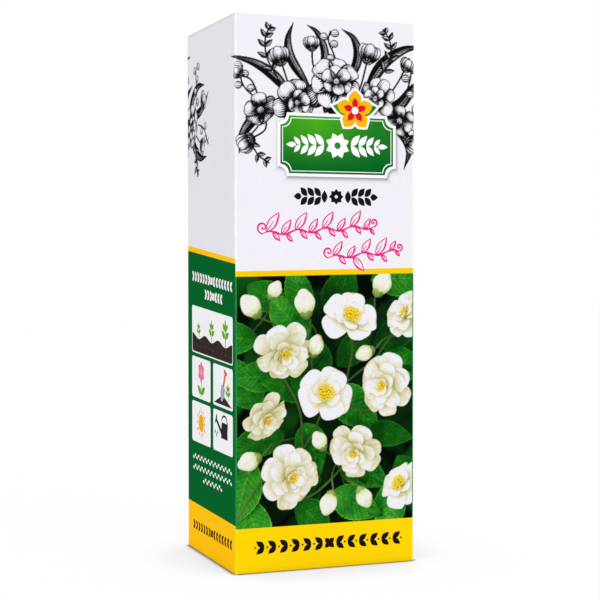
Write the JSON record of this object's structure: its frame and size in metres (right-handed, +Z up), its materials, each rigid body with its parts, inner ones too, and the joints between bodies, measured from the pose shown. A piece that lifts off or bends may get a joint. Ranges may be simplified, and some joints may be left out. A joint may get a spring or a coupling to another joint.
{
  "type": "printed folding carton",
  "caption": "Tall rectangular paperboard carton with a hinged tuck-in lid, dust flaps and a glued bottom, printed on all four walls.",
  "frame": {"origin": "middle of the underside of the closed bottom", "axes": "+Z up along the carton's height, the front panel faces -Y and the lid is hinged at +Y"},
  "size_m": [0.098, 0.083, 0.28],
  "materials": {
    "printed_board": "white coated paperboard, satin varnish over a colour print",
    "yellow_foot": "yellow printed paperboard, satin varnish",
    "bare_board": "uncoated greyish inside face of the board, matte"
  },
  "bodies": {
    "root": {"front_panel": "printed_board", "back_panel": "printed_board", "left_panel": "printed_board", "right_panel": "printed_board", "glue_flap": "bare_board", "bottom_outer_flap": "yellow_foot", "bottom_inner_flap": "bare_board", "bottom_dust_left": "bare_board", "bottom_dust_right": "bare_board"},
    "lid": {"top_lid": "printed_board"},
    "tuck": {"tuck_flap": "printed_board"},
    "dust_left": {"dust_flap_left": "printed_board"},
    "dust_right": {"dust_flap_right": "printed_board"}
  },
  "joints": [
    {"name": "lid_crease", "type": "hinge", "parent": "root", "child": "lid", "pos_m": [0, 0.0415, 0.2795], "axis": [-1, 0, 0], "range_deg": [0, 180]},
    {"name": "tuck_crease", "type": "hinge", "parent": "lid", "child": "tuck", "pos_m": [0, -0.0405, 0.2795], "axis": [-1, 0, 0], "range_deg": [0, 45]},
    {"name": "dust_crease_left", "type": "hinge", "parent": "root", "child": "dust_left", "pos_m": [-0.0485, 0, 0.2795], "axis": [0, -1, 0], "range_deg": [0, 135]},
    {"name": "dust_crease_right", "type": "hinge", "parent": "root", "child": "dust_right", "pos_m": [0.0485, 0, 0.2795], "axis": [0, 1, 0], "range_deg": [0, 135]}
  ],
  "couplings": [
    {"joint": "tuck_crease", "follows": "lid_crease", "ratio": 0.25},
    {"joint": "dust_crease_left", "follows": "lid_crease", "ratio": 0.75},
    {"joint": "dust_crease_right", "follows": "lid_crease", "ratio": 0.75}
  ]
}
